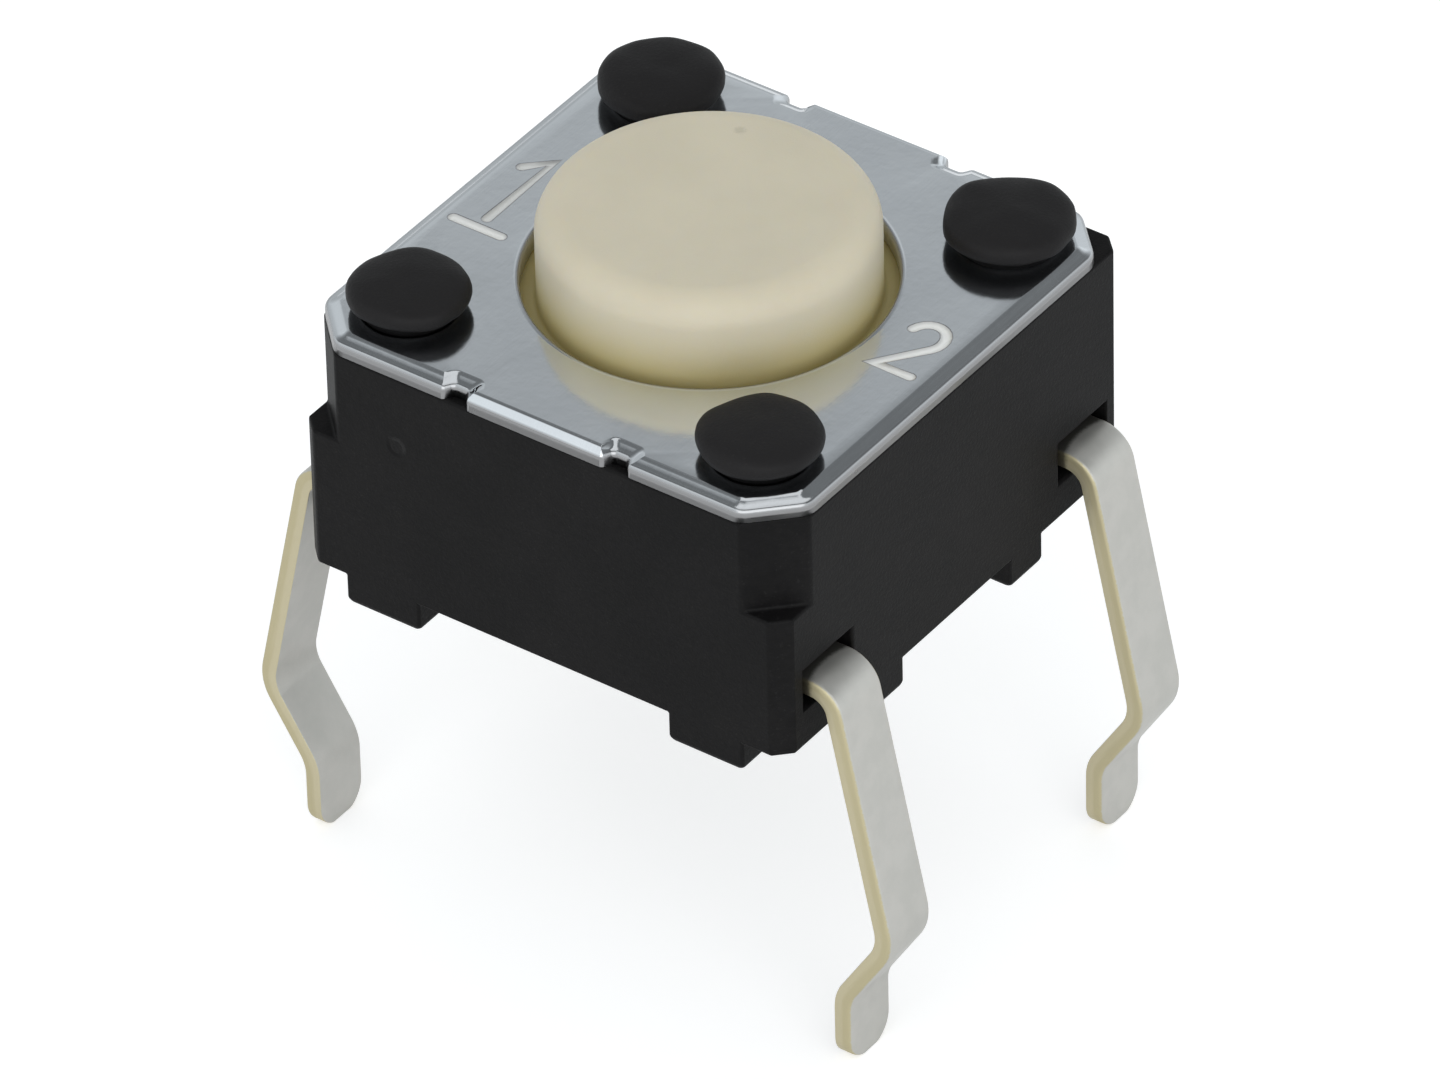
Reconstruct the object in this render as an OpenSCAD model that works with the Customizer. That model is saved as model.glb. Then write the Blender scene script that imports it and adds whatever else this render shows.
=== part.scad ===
// Tactile push button switch, 6 mm square, for through-hole boards, with four snap-in leads.
// The origin is the middle of the board plane, where the feet stand, and +Z points up.
// X runs the way the leads leave the housing, Y along the row of leads on one side.

/* [Housing] */
// Width of the housing across the two faces that the leads leave
body_w = 6; // [5.8:0.05:6.4]
// Depth of the housing along the row of leads
body_d = 6; // [5.8:0.05:6.4]
// Height of the housing from its underside to its top face
body_h = 2.8; // [2.6:0.05:3.6]
// Chamfer on the upright edges
edge_cut = 0.18; // [0.1:0.02:0.3]
// Larger chamfer on the upper part of the two front edges
front_cut = 0.5; // [0.4:0.02:0.6]
// Height of the ledge under the larger chamfer, from the underside of the housing
ledge_h = 1.7; // [1.5:0.05:2.2]
// Gap round the flange of the plunger in its pocket
flange_gap = 0.15; // [0.1:0.01:0.18]

/* [Feet] */
// Height of the feet that hold the housing off the board
stand_off = 0.4; // [0.2:0.05:0.6]
// Width of the arm of a foot that reaches the front or the back of the housing
foot_arm_w = 0.92; // [0.7:0.02:1]
// Width of the arm of a foot that reaches the side where the leads are
foot_side_w = 0.58; // [0.4:0.02:0.6]
// Distance from the middle line to the inner side of a foot along the width
foot_in_x = 1.55; // [1.4:0.05:1.7]
// Distance from the middle line to the inner side of a foot along the depth
foot_in_y = 0.94; // [0.7:0.02:1]
// Bevel on the lower edges of a foot
foot_bevel = 0.06; // [0.02:0.01:0.1]

/* [Cover plate] */
// How far the edge of the cover plate stays inside the faces of the housing
plate_inset = 0; // [0:0.01:0.06]
// Thickness of the cover plate
plate_t = 0.2; // [0.15:0.01:0.3]
// Corner chamfer of the cover plate
plate_cut = 0.51; // [0.4:0.01:0.6]
// Width of the rolled edge round the cover plate
roll_w = 0.15; // [0.05:0.01:0.2]
// Drop of the rolled edge
roll_h = 0.06; // [0.02:0.01:0.1]
// Gap round the stem of the plunger in its hole
stem_gap = 0.185; // [0.12:0.005:0.25]
// Width of the tab that carried the plate in its strip
tab_w = 1.6; // [1.2:0.1:2]
// How far the tab stands out from the plate
tab_out = 0.07; // [0.02:0.01:0.12]
// Width of the notch on each side of the tab
notch_w = 0.3; // [0.2:0.05:0.4]
// Depth of the notches
notch_in = 0.2; // [0.1:0.05:0.25]

/* [Staked posts] */
// Distance from the faces of the housing to the axis of a post
post_edge = 0.835; // [0.8:0.005:0.86]
// Diameter of a post
post_d = 0.9; // [0.7:0.05:1]
// Diameter of a staked head
head_d = 1.3; // [1.2:0.02:1.36]
// Height of a staked head over the cover plate
head_h = 0.4; // [0.3:0.02:0.5]
// Height of the widest ring of the head over the cover plate
head_rim_h = 0.22; // [0.15:0.01:0.22]
// Thickness of that ring
head_ring_t = 0.06; // [0.02:0.01:0.07]
// How far the foot of a head reaches over the rim of its hole
head_grip = 0.04; // [0.02:0.01:0.05]
// Gap between a post and its hole in the plate
post_gap = 0.03; // [0.01:0.01:0.05]

/* [Plunger] */
// Diameter of the stem that the finger presses
stem_d = 3.55; // [3.3:0.05:3.6]
// Height of the stem over the cover plate
stem_out = 0.9; // [0.5:0.1:6]
// Rounding of the top edge of the stem
stem_round = 0.24; // [0.05:0.01:0.3]
// Diameter of the flange that the cover plate holds in
flange_d = 4.5; // [4.3:0.05:4.6]
// Thickness of the flange
flange_t = 0.5; // [0.3:0.05:0.7]
// Diameter of the boss that presses the snap dome
boss_d = 1.6; // [1:0.1:2]
// Play between the flange and the cover plate
flange_play = 0.03; // [0.01:0.01:0.05]

/* [Snap dome] */
// Diameter of the snap dome
dome_d = 4.3; // [4:0.05:4.4]
// Thickness of the snap dome
dome_t = 0.07; // [0.05:0.01:0.1]
// Height of the hollow under the middle of the snap dome
dome_rise = 0.28; // [0.26:0.01:0.35]
// Gap between the rim of the snap dome and its seat
dome_gap = 0.05; // [0.03:0.01:0.08]
// Depth of the seat of the snap dome below the pocket
seat_depth = 0.4; // [0.3:0.05:0.5]
// Gap between the boss and the snap dome
boss_gap = 0.02; // [0.01:0.01:0.05]

/* [Contact strips] */
// Width of the strips and their leads
lead_w = 0.7; // [0.6:0.05:0.8]
// Thickness of the sheet that the strips are stamped from
lead_t = 0.2; // [0.15:0.01:0.3]
// Distance between the leads on one side
lead_pitch = 4.5; // [4.4:0.05:4.6]
// Height of the middle of the sheet over the board where it leaves the housing
lead_exit_h = 1.1; // [0.9:0.05:1.3]
// Straight stretch of a lead outside the housing
lead_exit_l = 0.1; // [0.05:0.05:0.3]
// Inner radius of the bend at the shoulder of a lead
shoulder_r = 0.1; // [0.05:0.01:0.2]
// Inner radius of the two bends of the knee
knee_r = 0.35; // [0.1:0.05:0.4]
// Outward lean of a lead down to its knee
splay = 12; // [8:1:14]
// Inward lean of a lead below its knee
kink = 32; // [25:1:40]
// Depth of the knee below the board plane
knee_depth = 1.66; // [1.4:0.02:2]
// Distance between the tips of the two leads of one strip
tip_pitch = 6.7; // [6.5:0.05:6.8]
// Length of the leads below the board plane
lead_below = 3.6; // [3.5:0.1:4.5]
// Rounding of the corners at the tip of a lead
tip_round = 0.3; // [0.1:0.05:0.3]
// Diameter of the middle contact under the snap dome
centre_pad_d = 0.8; // [0.6:0.05:1]
// Diameter of the two contacts under the rim of the snap dome
rim_pad_d = 0.5; // [0.4:0.05:0.6]
// Distance from the rim of the snap dome to the middle of a rim contact
rim_pad_in = 0.1; // [0.05:0.01:0.2]
// Direction of the rim contacts, from the X axis towards the front
rim_pad_angle = 46; // [40:1:50]
// Skin of the housing over the strips
skin = 0.08; // [0.05:0.01:0.12]
// Width of the arm that carries the middle contact
centre_arm_w = 0.6; // [0.4:0.05:0.7]
// Width of the arms that carry the rim contacts
rim_arm_w = 0.4; // [0.3:0.05:0.5]
// Gap on each side of a lead in its recess in the face of the housing
recess_gap = 0.08; // [0.02:0.01:0.1]
// Room over and under the lead in its recess
recess_room = 0.15; // [0.05:0.01:0.2]
// Depth of the recess
recess_in = 0.2; // [0.1:0.01:0.25]

/* [Hidden] */

$fn = 64;
// Overshoot of the cutting solids past the faces that they open
over = 0.5;
// Depth by which the feet and the posts are rooted in the housing
root = 0.2;

// Heights over the board
body_top = stand_off + body_h;
ledge_z = stand_off + ledge_h;
plate_top = body_top + plate_t;
strip_base = lead_exit_h - lead_t / 2;
strip_top = lead_exit_h + lead_t / 2;
floor_z = strip_top + skin;
seat_top = floor_z + seat_depth;
boss_z = floor_z + dome_rise + dome_t + boss_gap;
flange_top = body_top - flange_play;
flange_base = flange_top - flange_t;
stem_top = plate_top + stem_out;

// Plan of the housing and what lies in it
post_x = body_w / 2 - post_edge;
post_y = body_d / 2 - post_edge;
pocket_d = flange_d + 2 * flange_gap;
rim_pad_r = dome_d / 2 - rim_pad_in;

// Plan of the cover plate
plate_w = body_w - 2 * plate_inset;
plate_d = body_d - 2 * plate_inset;
plate_hole_d = stem_d + 2 * stem_gap;

// Head of a post: foot of the flare, top of the upright ring and radius of the crown over it
head_foot_r = post_d / 2 + post_gap + head_grip;
shoulder_h = head_rim_h + head_ring_t;
crown_h = head_h - shoulder_h;
crown_r = (pow(head_d / 2, 2) + pow(crown_h, 2)) / (2 * crown_h);

// Radius of the hollow side of the snap dome
hollow_r = (pow(dome_d / 2, 2) + pow(dome_rise, 2)) / (2 * dome_rise);

// Path of a lead: the ends of its bends settle the straight lengths between them
shoulder_mid_r = shoulder_r + lead_t / 2;
knee_mid_r = knee_r + lead_t / 2;
shoulder_end_x = body_w / 2 + lead_exit_l + shoulder_mid_r * cos(splay);
shoulder_end_z = lead_exit_h - shoulder_mid_r * (1 - sin(splay));
leg_l = (shoulder_end_z + knee_depth) / cos(splay);
knee_end_x = shoulder_end_x + leg_l * sin(splay) + knee_mid_r * (cos(kink) - cos(splay));
knee_end_z = -knee_depth - knee_mid_r * (sin(splay) + sin(kink));
kink_l = (knee_end_x - tip_pitch / 2 - knee_mid_r * (1 - cos(kink))) / sin(kink);
tip_l = lead_below + knee_end_z - kink_l * cos(kink) - knee_mid_r * sin(kink);
lead_lengths = [body_w / 2 + lead_exit_l, leg_l, kink_l, tip_l];
lead_turns = [splay - 90, -splay - kink, kink];
lead_radii = [shoulder_mid_r, knee_mid_r, knee_mid_r];

// Housing

// Rectangle with a chamfer on each corner, counted round from the front left
module cut_rectangle(w, d, cuts) {
    polygon([
        [-w / 2 + cuts[0], -d / 2], [w / 2 - cuts[1], -d / 2],
        [w / 2, -d / 2 + cuts[1]], [w / 2, d / 2 - cuts[2]],
        [w / 2 - cuts[2], d / 2], [-w / 2 + cuts[3], d / 2],
        [-w / 2, d / 2 - cuts[3]], [-w / 2, -d / 2 + cuts[0]]
    ]);
}

module body_block() {
    translate([0, 0, stand_off])
        linear_extrude(ledge_h)
            cut_rectangle(body_w, body_d, [edge_cut, edge_cut, edge_cut, edge_cut]);
    translate([0, 0, ledge_z])
        linear_extrude(body_h - ledge_h)
            cut_rectangle(body_w, body_d, [front_cut, front_cut, edge_cut, edge_cut]);
}

// Section of a foot between two sides, bevelled where it stands on the board
module foot_section(from, to) {
    polygon([
        [from + foot_bevel, 0], [to - foot_bevel, 0], [to, foot_bevel],
        [to, stand_off + root], [from, stand_off + root], [from, foot_bevel]
    ]);
}

// Part of a foot over the rectangle from corner a to corner b
module foot_arm(a, b) {
    intersection() {
        translate([0, b[1], 0])
            rotate([90, 0, 0])
                linear_extrude(b[1] - a[1])
                    foot_section(a[0], b[0]);
        translate([a[0], 0, 0])
            rotate([90, 0, 90])
                linear_extrude(b[0] - a[0])
                    foot_section(a[1], b[1]);
    }
}

// Foot in the corner where x and y are positive, L-shaped to clear the hole of its lead
module foot() {
    foot_arm([foot_in_x, foot_in_y], [foot_in_x + foot_arm_w, body_d / 2]);
    foot_arm([foot_in_x, foot_in_y], [body_w / 2, foot_in_y + foot_side_w]);
}

// Post that passes through the cover plate, with the head that staking gives it
module staked_post() {
    translate([0, 0, body_top - root])
        cylinder(d = post_d, h = root + plate_t + shoulder_h);
    translate([0, 0, plate_top])
        rotate_extrude() {
            polygon([
                [0, 0], [head_foot_r, 0], [head_d / 2, head_rim_h],
                [head_d / 2, shoulder_h], [0, shoulder_h]
            ]);
            intersection() {
                translate([0, shoulder_h])
                    square([head_d / 2, crown_h]);
                translate([0, head_h - crown_r])
                    circle(crown_r, $fn = 256);
            }
        }
}

// Room for the plunger, with the seat of the snap dome under it
module pocket() {
    translate([0, 0, seat_top])
        cylinder(d = pocket_d, h = body_h);
    translate([0, 0, floor_z])
        cylinder(d = dome_d + 2 * dome_gap, h = seat_depth + over);
}

// Recess in the face of the housing round a lead, on the side where x is positive
module lead_recess() {
    translate([body_w / 2 - recess_in, -lead_w / 2 - recess_gap, strip_base - recess_room])
        cube([recess_in + over, lead_w + 2 * recess_gap, lead_t + 2 * recess_room]);
}

module housing() {
    color("#26262a")
        difference() {
            union() {
                body_block();
                for (x = [0, 1], y = [0, 1])
                    mirror([x, 0, 0])
                        mirror([0, y, 0])
                            foot();
                for (x = [-post_x, post_x], y = [-post_y, post_y])
                    translate([x, y, 0])
                        staked_post();
            }
            pocket();
            for (x = [0, 1], y = [-1, 1])
                mirror([x, 0, 0])
                    translate([0, y * lead_pitch / 2, 0])
                        lead_recess();
            centre_strip_shape();
            rim_strip_shape();
        }
}

// Cover plate

// Bar of width w along the Y direction, whose top edges slope down as the rolled edge does
module rolled_bar(w) {
    rotate([90, 0, 0])
        linear_extrude(2 * (plate_w + plate_d), center = true)
            polygon([
                [-w / 2, body_top], [w / 2, body_top],
                [w / 2, plate_top - roll_h], [w / 2 - roll_w, plate_top],
                [-w / 2 + roll_w, plate_top], [-w / 2, plate_top - roll_h]
            ]);
}

// Sheet with cut corners, its upper edges rolled by the cutting
module rolled_sheet() {
    corner_w = sqrt(2) * ((plate_w + plate_d) / 2 - plate_cut);
    intersection() {
        rolled_bar(plate_w);
        rotate([0, 0, 90])
            rolled_bar(plate_d);
        rotate([0, 0, 45])
            rolled_bar(corner_w);
        rotate([0, 0, -45])
            rolled_bar(corner_w);
    }
}

module cover_plate() {
    notch_x = (tab_w + notch_w) / 2;
    color("#a9afb8")
        difference() {
            union() {
                rolled_sheet();
                translate([-tab_w / 2, -plate_d / 2 - tab_out, body_top])
                    cube([tab_w, plate_d + 2 * tab_out, plate_t]);
            }
            for (x = [-notch_x, notch_x], y = [-plate_d / 2, plate_d / 2])
                translate([x - notch_w / 2, y - notch_in, body_top - over])
                    cube([notch_w, 2 * notch_in, plate_t + 2 * over]);
            translate([0, 0, body_top - over])
                cylinder(d = plate_hole_d, h = plate_t + 2 * over);
            for (x = [-post_x, post_x], y = [-post_y, post_y])
                translate([x, y, body_top - over])
                    cylinder(d = post_d + 2 * post_gap, h = plate_t + 2 * over);
        }
}

// Plunger

// Square corner minus its rounding, which cuts the top edge of the stem
module edge_rounding(r) {
    difference() {
        square(2 * r);
        circle(r);
    }
}

module plunger() {
    color("#d8d2bc")
        rotate_extrude()
            difference() {
                union() {
                    translate([0, boss_z])
                        square([boss_d / 2, flange_top - boss_z]);
                    translate([0, flange_base])
                        square([flange_d / 2, flange_t]);
                    translate([0, flange_base])
                        square([stem_d / 2, stem_top - flange_base]);
                }
                translate([stem_d / 2 - stem_round, stem_top - stem_round])
                    edge_rounding(stem_round);
            }
}

// Snap dome

module snap_dome() {
    color("#b9b9b4")
        rotate_extrude()
            intersection() {
                translate([0, floor_z])
                    square([dome_d / 2, dome_rise + dome_t]);
                translate([0, floor_z + dome_rise - hollow_r])
                    difference() {
                        circle(hollow_r + dome_t, $fn = 512);
                        circle(hollow_r, $fn = 512);
                    }
            }
}

// Contact strips

// Bend of a sheet that arrives along X at the origin and turns to the left for side 1
module bend(side, angle, mid_r) {
    reach = 2 * (mid_r + lead_t);
    translate([0, side * mid_r])
        intersection() {
            difference() {
                circle(mid_r + lead_t / 2);
                circle(mid_r - lead_t / 2);
            }
            polygon([
                [0, 0], [0, -side * reach], [reach, -side * reach],
                [reach * sin(angle), -side * reach * cos(angle)]
            ]);
        }
}

// Side view of a bent sheet: each straight length is followed by a turn, until the last
module bent_sheet(i = 0) {
    translate([0, -lead_t / 2])
        square([lead_lengths[i], lead_t]);
    if (i < len(lead_turns)) {
        side = sign(lead_turns[i]);
        translate([lead_lengths[i], 0]) {
            bend(side, abs(lead_turns[i]), lead_radii[i]);
            translate([0, side * lead_radii[i]])
                rotate(lead_turns[i])
                    translate([0, -side * lead_radii[i]])
                        bent_sheet(i + 1);
        }
    }
}

// Half of a strip with its lead, on the side where x is positive
module lead_half() {
    difference() {
        rotate([90, 0, 0])
            linear_extrude(lead_w, center = true)
                translate([0, lead_exit_h])
                    bent_sheet();
        for (y = [0, 1])
            mirror([0, y, 0])
                translate([tip_pitch / 2 - lead_t, lead_w / 2 - tip_round, tip_round - lead_below])
                    rotate([90, 0, 90])
                        linear_extrude(2 * lead_t)
                            mirror([0, 1, 0])
                                edge_rounding(tip_round);
    }
}

// Straight strip across the housing, with a bent lead at each end
module strip_with_leads() {
    lead_half();
    mirror([1, 0, 0])
        lead_half();
}

// Flat arm of the sheet from y = 0 to y = l, along the middle line
module arm(w, l) {
    translate([-w / 2, min(0, l), strip_base])
        cube([w, abs(l), lead_t]);
}

// Contact that is coined up from the sheet to the floor of the housing
module pad(d) {
    translate([0, 0, strip_base])
        cylinder(d = d, h = floor_z - strip_base);
}

module centre_strip_shape() {
    translate([0, lead_pitch / 2, 0])
        strip_with_leads();
    arm(centre_arm_w, lead_pitch / 2);
    pad(centre_pad_d);
}

module rim_strip_shape() {
    pad_x = rim_pad_r * cos(rim_pad_angle);
    pad_y = -rim_pad_r * sin(rim_pad_angle);
    translate([0, -lead_pitch / 2, 0])
        strip_with_leads();
    for (x = [-pad_x, pad_x])
        translate([x, pad_y, 0]) {
            arm(rim_arm_w, -lead_pitch / 2 - pad_y);
            pad(rim_pad_d);
        }
}

module centre_strip() {
    color("#c9bd8d")
        centre_strip_shape();
}

module rim_strip() {
    color("#c9bd8d")
        rim_strip_shape();
}

housing();
cover_plate();
plunger();
snap_dome();
centre_strip();
rim_strip();
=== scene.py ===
import math

import bmesh
import bpy
import numpy as np
from mathutils import Matrix, Vector


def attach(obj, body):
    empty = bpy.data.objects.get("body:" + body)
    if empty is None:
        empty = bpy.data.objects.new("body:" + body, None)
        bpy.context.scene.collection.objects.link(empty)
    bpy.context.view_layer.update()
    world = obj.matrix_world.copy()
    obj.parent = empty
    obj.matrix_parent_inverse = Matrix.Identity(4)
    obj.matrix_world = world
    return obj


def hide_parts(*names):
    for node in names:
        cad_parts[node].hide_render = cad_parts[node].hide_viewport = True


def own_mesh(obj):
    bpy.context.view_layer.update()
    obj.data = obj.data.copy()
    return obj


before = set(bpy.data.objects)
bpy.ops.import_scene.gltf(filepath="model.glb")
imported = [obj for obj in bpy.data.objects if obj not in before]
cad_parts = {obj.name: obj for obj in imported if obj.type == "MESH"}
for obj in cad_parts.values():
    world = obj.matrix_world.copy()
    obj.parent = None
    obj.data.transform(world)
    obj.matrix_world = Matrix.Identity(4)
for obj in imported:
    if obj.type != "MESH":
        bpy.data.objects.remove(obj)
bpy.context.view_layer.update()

# Camera. It looks down on the near right corner of the switch from 147 mm away, through a long
# lens, and leans a little to one side.
mm = 0.001
azimuth, elevation, lean = (math.radians(a) for a in (36.41, 37.78, 1.43))
camera_distance = 0.147
pixels_per_mm = 97.9
picture_w, picture_h = 1440, 1080
board_pixel = (716.5, 539.4)
sensor_w = 36
back = Vector((
    math.sin(azimuth) * math.cos(elevation),
    -math.cos(azimuth) * math.cos(elevation),
    math.sin(elevation),
))
level = Vector((math.cos(azimuth), math.sin(azimuth), 0))
rise = back.cross(level)
right = level * math.cos(lean) - rise * math.sin(lean)
up = level * math.sin(lean) + rise * math.cos(lean)
aside = right * (picture_w / 2 - board_pixel[0]) + up * (board_pixel[1] - picture_h / 2)
camera = bpy.data.objects.new("camera", bpy.data.cameras.new("camera"))
camera.data.sensor_width = sensor_w
camera.data.lens = sensor_w * pixels_per_mm * camera_distance / mm / picture_w
camera.data.clip_start = 0.01
facing = Matrix((right, up, back)).transposed().to_4x4()
camera.matrix_world = Matrix.Translation(back * camera_distance + aside * mm / pixels_per_mm) @ facing
bpy.context.scene.collection.objects.link(camera)
bpy.context.scene.camera = camera

# Contact strips. Two strips of thin brass sheet, tinned and then stamped, so that bare brass shows
# on the cut edges. A press bends each end over into a lead with a knee that snaps into the board.
sheet_w, sheet_t = 0.7, 0.2
lead_row_y = 2.25
sheet_z = 1.1
shoulder_start = 3.02
shoulder_mid_r, knee_mid_r = 0.3, 0.52
splay, kink = math.radians(12), math.radians(32)
knee_depth, lead_below = 1.67, 3.6
tip_x = 3.35
tip_round, tip_edge = 0.3, 0.03
centre_arm_w, rim_arm_w, arm_root = 0.6, 0.4, 0.05
centre_pad_d, rim_pad_d, pad_edge, pad_rise = 0.8, 0.5, 0.03, 0.18
rim_pad_r, rim_pad_angle = 2.05, math.radians(46)
shoulder_end = (
    shoulder_start + shoulder_mid_r * math.cos(splay),
    sheet_z - shoulder_mid_r * (1 - math.sin(splay)),
)
leg_l = (shoulder_end[1] + knee_depth) / math.cos(splay)
knee_end_x = shoulder_end[0] + leg_l * math.sin(splay) + knee_mid_r * (math.cos(kink) - math.cos(splay))
knee_end_z = -knee_depth - knee_mid_r * (math.sin(splay) + math.sin(kink))
kink_l = (knee_end_x - tip_x - knee_mid_r * (1 - math.cos(kink))) / math.sin(kink)
tip_l = lead_below + knee_end_z - kink_l * math.cos(kink) - knee_mid_r * math.sin(kink)
shoulder_turn = math.pi / 2 - splay
knee_start = shoulder_start + shoulder_mid_r * shoulder_turn + leg_l
tip_bend_start = knee_start + knee_mid_r * (splay + kink) + kink_l
blank_half_l = tip_bend_start + knee_mid_r * kink + tip_l


class Signal:
    """A socket in a node tree: arithmetic on it adds Math nodes, and node() adds any other node."""

    def __init__(self, tree, socket=None):
        self.tree = tree
        self.socket = socket

    def node(self, kind, settings=(), sockets=(), out=0):
        made = self.tree.nodes.new(kind)
        for name, value in dict(settings).items():
            setattr(made, name, value)
        for name, value in dict(sockets).items():
            if isinstance(value, Signal):
                self.tree.links.new(value.socket, made.inputs[name])
            else:
                made.inputs[name].default_value = value
        return Signal(self.tree, made.outputs[out])

    def math(self, operation, *values):
        return self.node("ShaderNodeMath", {"operation": operation}, dict(enumerate(values)))

    def __add__(self, other):
        return self.math("ADD", self, other)

    def __sub__(self, other):
        return self.math("SUBTRACT", self, other)

    def __rsub__(self, other):
        return self.math("SUBTRACT", other, self)

    def __mul__(self, other):
        return self.math("MULTIPLY", self, other)

    def __truediv__(self, other):
        return self.math("DIVIDE", self, other)

    __radd__ = __add__

    def absolute(self):
        return self.math("ABSOLUTE", self)

    def root(self):
        return self.math("SQRT", self)

    def least(self, other):
        return self.math("MINIMUM", self, other)

    def most(self, other):
        return self.math("MAXIMUM", self, other)

    def step(self, low, high):
        """0 below low, 1 above high, and smooth between them."""
        return self.node(
            "ShaderNodeMapRange",
            {"interpolation_type": "SMOOTHSTEP"},
            {"Value": self, "From Min": low, "From Max": high},
        )

    def blend(self, first, second):
        """The colour first where this signal is 0, and second where it is 1."""
        return self.node("ShaderNodeMix", {"data_type": "RGBA"}, {0: self, 6: first, 7: second}, out=2)

    def parts(self):
        split = self.node("ShaderNodeSeparateXYZ", sockets={0: self})
        return [Signal(self.tree, s) for s in split.socket.node.outputs]

    def stretched(self, *scale):
        return self.node("ShaderNodeVectorMath", {"operation": "MULTIPLY"}, {0: self, 1: scale})

    def noise(self, scale, detail=3.0, roughness=0.5):
        return self.node(
            "ShaderNodeTexNoise",
            sockets={"Vector": self, "Scale": scale, "Detail": detail, "Roughness": roughness},
        )


def colour(r, g, b):
    return (r, g, b, 1)


def new_finish(name, fixed):
    """A material with its constant values set, its Principled shader and its Object coordinates in mm."""
    finish = bpy.data.materials.new(name)
    finish.use_nodes = True
    shader = finish.node_tree.nodes["Principled BSDF"]
    for socket, value in fixed.items():
        shader.inputs[socket].default_value = value
    start = Signal(finish.node_tree)
    place = start.node("ShaderNodeTexCoord", out=3).stretched(1000, 1000, 1000)
    return finish, shader, place


def feed(shader, **signals):
    for name, signal in signals.items():
        signal.tree.links.new(signal.socket, shader.inputs[name.replace("_", " ")])


tinned_brass, shader, place = new_finish("tinned_brass", {"Metallic": 0.8})
flat_place = place.node("ShaderNodeAttribute", {"attribute_name": "flat_place"}, out=1)
cut = place.node("ShaderNodeAttribute", {"attribute_name": "cut_edge"}, out=2)
flat_x, flat_y, flat_z = flat_place.parts()
mottle = flat_place.noise(3.5, 4.0, 0.6)
grain = flat_place.noise(38.0, 2.0, 0.5)
tin = mottle.step(0.3, 0.7).blend(colour(0.56, 0.553, 0.52), colour(0.605, 0.593, 0.56))
streak = flat_place.stretched(3, 3, 30).noise(1.0, 3.0, 0.6)
torn = (flat_z + streak * 0.08).step(0.0, 0.06)
brass = torn.blend(colour(0.62, 0.56, 0.385), colour(0.565, 0.505, 0.325))
bare = (cut - (grain - 0.4).most(0.0) * 0.8).most(0.0).step(0.2, 0.75)
# Painted shade: the leads are coloured nearly black where they go into the housing, for the shade in the
# recess round each exit
painted_exit_shade = 1 - (flat_x.absolute() - flat_y * flat_y * 0.6 + grain * 0.03).step(2.93, 3.01)
height = grain * 0.5 + mottle * 0.5 + bare * streak * 1.2
feed(
    shader,
    Base_Color=(painted_exit_shade * 0.85).blend(bare.blend(tin, brass), colour(0.03, 0.026, 0.02)),
    Roughness=0.36 + mottle * 0.16 + bare * 0.1,
    Normal=place.node("ShaderNodeBump", sockets={"Strength": 0.5, "Distance": 0.006 * mm, "Height": height}),
)


def skin(rings, closed_ends=True, marks=None):
    """A bmesh through rings of points, counted round counter-clockwise as the last ring sees them."""
    bm = bmesh.new()
    layer = bm.verts.layers.float.new("cut_edge") if marks else None
    made = [[bm.verts.new(p) for p in ring] for ring in rings]
    for ring, values in zip(made, marks or []):
        for v, value in zip(ring, values):
            v[layer] = value
    count = len(rings[0])
    for a, b in zip(made, made[1:]):
        for i in range(count):
            j = (i + 1) % count
            bm.faces.new((a[i], a[j], b[j], b[i]))
    if closed_ends:
        bm.faces.new(made[0][::-1])
        bm.faces.new(made[-1])
    return bm


def piece_from(bm, name, finish=None, smooth=True):
    mesh = bpy.data.meshes.new(name)
    bmesh.ops.recalc_face_normals(bm, faces=bm.faces)
    for f in bm.faces:
        f.smooth = smooth
    bm.to_mesh(mesh)
    bm.free()
    if finish:
        mesh.materials.append(finish)
    piece = bpy.data.objects.new(name, mesh)
    bpy.context.scene.collection.objects.link(piece)
    return piece


def settle(piece, scale=mm):
    """Turns the piece with its modifiers into a plain mesh, in metres."""
    graph = bpy.context.evaluated_depsgraph_get()
    graph.update()
    mesh = bpy.data.meshes.new_from_object(
        piece.evaluated_get(graph), preserve_all_data_layers=True, depsgraph=graph
    )
    piece.modifiers.clear()
    piece.data = mesh
    mesh.name = piece.name
    mesh.transform(Matrix.Scale(scale, 4))
    return piece


def add_tree(name, sizes):
    """A Geometry Nodes tree with named inputs: returns it, its incoming geometry and its sizes."""
    tree = bpy.data.node_groups.new(name, "GeometryNodeTree")
    tree.interface.new_socket("Geometry", in_out="OUTPUT", socket_type="NodeSocketGeometry")
    tree.interface.new_socket("Geometry", in_out="INPUT", socket_type="NodeSocketGeometry")
    kinds = {float: "NodeSocketFloat", int: "NodeSocketInt", bpy.types.Material: "NodeSocketMaterial"}
    for label, value in sizes.items():
        socket = tree.interface.new_socket(label, in_out="INPUT", socket_type=kinds[type(value)])
        if not isinstance(value, bpy.types.Material):
            socket.default_value = value
    entry = tree.nodes.new("NodeGroupInput")
    return tree, Signal(tree, entry.outputs["Geometry"]), {
        label: Signal(tree, entry.outputs[label]) for label in sizes
    }


def end_tree(geometry, finish):
    """Realize Instances, Set Material and the output."""
    real = geometry.node("GeometryNodeRealizeInstances", sockets={"Geometry": geometry})
    done = real.node("GeometryNodeSetMaterial", sockets={"Geometry": real, "Material": finish})
    exit_node = geometry.tree.nodes.new("NodeGroupOutput")
    geometry.tree.links.new(done.socket, exit_node.inputs["Geometry"])


def use_tree(piece, tree, sizes):
    modifier = piece.modifiers.new(tree.name, "NODES")
    modifier.node_group = tree
    for item in tree.interface.items_tree:
        if item.in_out == "INPUT" and item.name in sizes:
            modifier[item.identifier] = sizes[item.name]


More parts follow.
